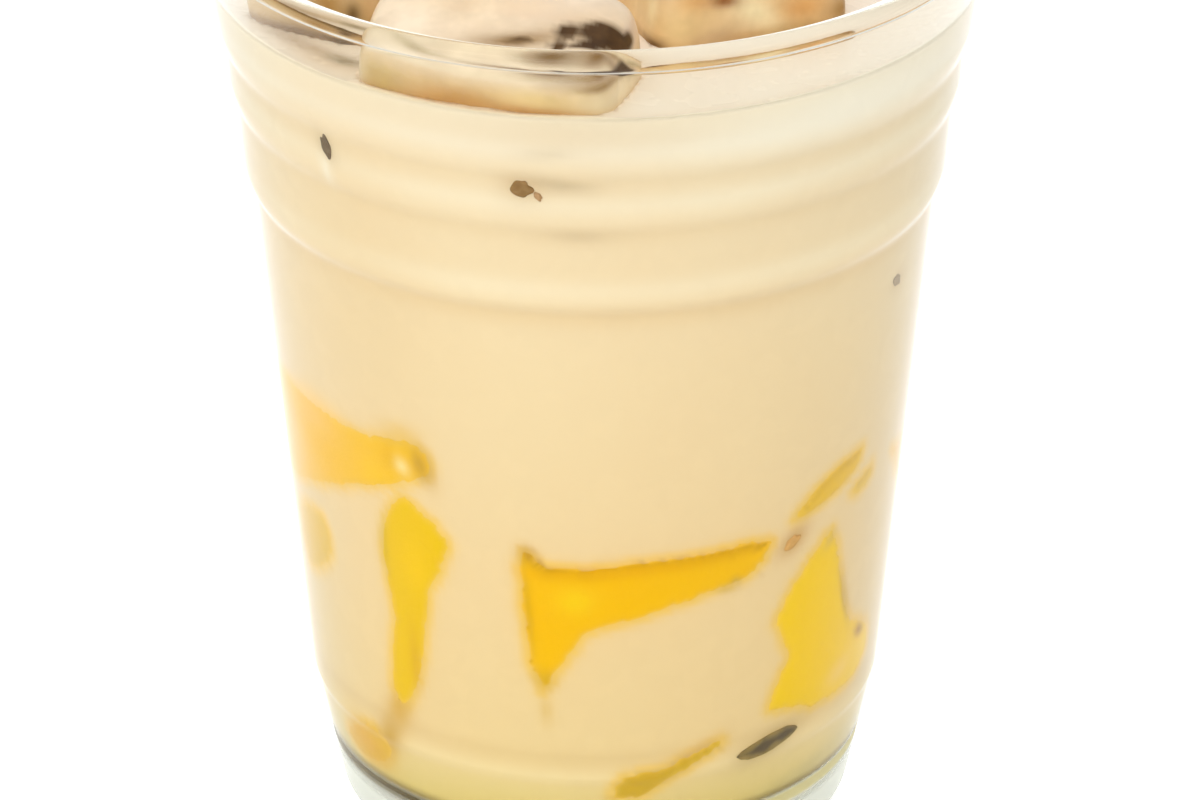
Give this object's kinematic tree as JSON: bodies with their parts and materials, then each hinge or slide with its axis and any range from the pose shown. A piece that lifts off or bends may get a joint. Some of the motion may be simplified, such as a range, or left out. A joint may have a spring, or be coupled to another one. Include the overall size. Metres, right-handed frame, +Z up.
{
  "type": "iced pudding milk tea",
  "caption": "Clear stepped cup of milk tea with ice standing out of the top and broken custard pudding lying against the wall.",
  "frame": {"origin": "centre of the cup's foot, on the surface it stands on", "axes": "+Z up the cup's axis, -Y towards the side that the picture shows"},
  "size_m": [0.098, 0.098, 0.12],
  "materials": {
    "clear_plastic": "clear thin-walled hard plastic, smooth and glossy",
    "milk_tea": "opaque creamy pale tan drink, wet",
    "ice": "wet part-melted ice stained amber by the tea",
    "pudding": "smooth egg-yellow custard, moist",
    "caramel": "dark brown burnt-sugar flake, moist"
  },
  "bodies": {
    "root": {"cup": "clear_plastic", "milk_tea": "milk_tea", "ice_front": "ice", "ice_left": "ice", "ice_right": "ice", "ice_middle": "ice", "ice_back_left": "ice", "ice_back": "ice", "ice_small": "ice", "pudding_left_top": "pudding", "pudding_left_strip": "pudding", "pudding_left_foot": "pudding", "pudding_front": "pudding", "pudding_right": "pudding", "pudding_right_streak": "pudding", "pudding_right_sliver": "pudding", "pudding_foot_streak": "pudding", "pudding_left_edge": "pudding", "pudding_back_1": "pudding", "pudding_back_2": "pudding", "pudding_back_3": "pudding", "pudding_back_4": "pudding", "pudding_back_5": "pudding", "pudding_back_6": "pudding", "caramel_flake": "caramel"}
  },
  "joints": []
}
